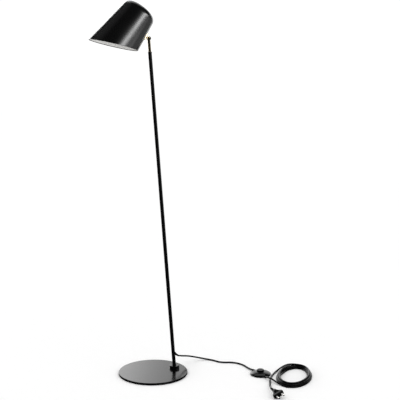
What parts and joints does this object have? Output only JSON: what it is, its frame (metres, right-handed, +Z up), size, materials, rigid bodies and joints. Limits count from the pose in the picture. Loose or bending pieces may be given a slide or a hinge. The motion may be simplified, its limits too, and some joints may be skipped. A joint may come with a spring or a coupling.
{
  "type": "floor lamp",
  "caption": "Leaning single-pole floor lamp: round offset base, brass stem and knuckle, tilting hood shade, foot switch on a coiled mains lead with a flat two-pin plug.",
  "frame": {"origin": "centre of the base's underside, on the floor", "axes": "+Z up; the pole's foot is on +X and the shade looks towards -X; the XZ plane is the lamp's symmetry plane"},
  "size_m": [0.7453, 0.5513, 1.3288],
  "materials": {
    "foam": "matte",
    "black_lacquer": "satin",
    "zinc": "satin",
    "black_rubber": "matte",
    "cord": "satin",
    "brass": "polished",
    "contact_brass": "satin",
    "fibre": "matte",
    "shade_lacquer": "satin",
    "holder_plastic": "satin",
    "white_plastic": "matte",
    "bulb_metal": "satin",
    "bulb_glass": "satin",
    "switch_plastic": "gloss",
    "button_plastic": "satin",
    "plug_plastic": "satin",
    "pin_metal": "polished"
  },
  "bodies": {
    "stand": {"base_pad": "foam", "base_plate": "black_lacquer", "base_washer": "zinc", "base_bolt": "zinc", "foot_flange": "black_lacquer", "pole_tube": "black_lacquer", "pole_foot_plug": "zinc", "pole_cap": "black_lacquer", "pole_cord_relief": "black_rubber", "pole_flex": "cord", "switch_foot_ring": "black_rubber", "switch_base": "switch_plastic", "switch_cover": "switch_plastic", "switch_cord_grips": "black_rubber", "switch_contact_block": "white_plastic", "switch_spring": "zinc", "switch_screws": "zinc", "cord_pole_to_switch": "cord", "cord_switch_to_coil": "cord", "cord_coil": "cord", "cord_coil_to_plug": "cord", "plug_body": "plug_plastic", "plug_pins": "pin_metal", "plug_relief": "black_rubber"},
    "stem": {"stem": "brass", "stem_washer": "zinc", "stem_lock_nut": "zinc", "pivot_screw": "brass", "friction_washer": "fibre", "pivot_spring_washer": "zinc", "pivot_nut": "brass"},
    "shade": {"shade_shell": "shade_lacquer", "shade_bracket": "brass", "knuckle_upper": "brass", "holder_bracket": "zinc", "bracket_screws": "zinc", "nipple": "zinc", "nipple_nut": "zinc", "holder_cap": "holder_plastic", "holder_body": "holder_plastic", "holder_ring": "holder_plastic", "terminal_block": "white_plastic", "centre_contact": "contact_brass", "bulb_cap": "bulb_metal", "bulb_globe": "bulb_glass", "shade_flex": "cord"},
    "foot_button": {"switch_button": "button_plastic"}
  },
  "joints": [
    {"name": "stem_swivel", "type": "hinge", "parent": "stand", "child": "stem", "pos_m": [-0.00197, 0, 1.15729], "axis": [-0.0746, 0, 0.9972], "range_deg": [-170, 170]},
    {"name": "shade_tilt", "type": "hinge", "parent": "stem", "child": "shade", "pos_m": [-0.0054, 0, 1.20301], "axis": [0, 1, 0], "range_deg": [-35, 55]},
    {"name": "switch_press", "type": "slide", "parent": "stand", "child": "foot_button", "axis": [0, 0, -1], "range_m": [0, 0.003], "stiffness_N_per_m": 1500, "springref_m": -0.003, "deforming": ["switch_spring"]}
  ]
}
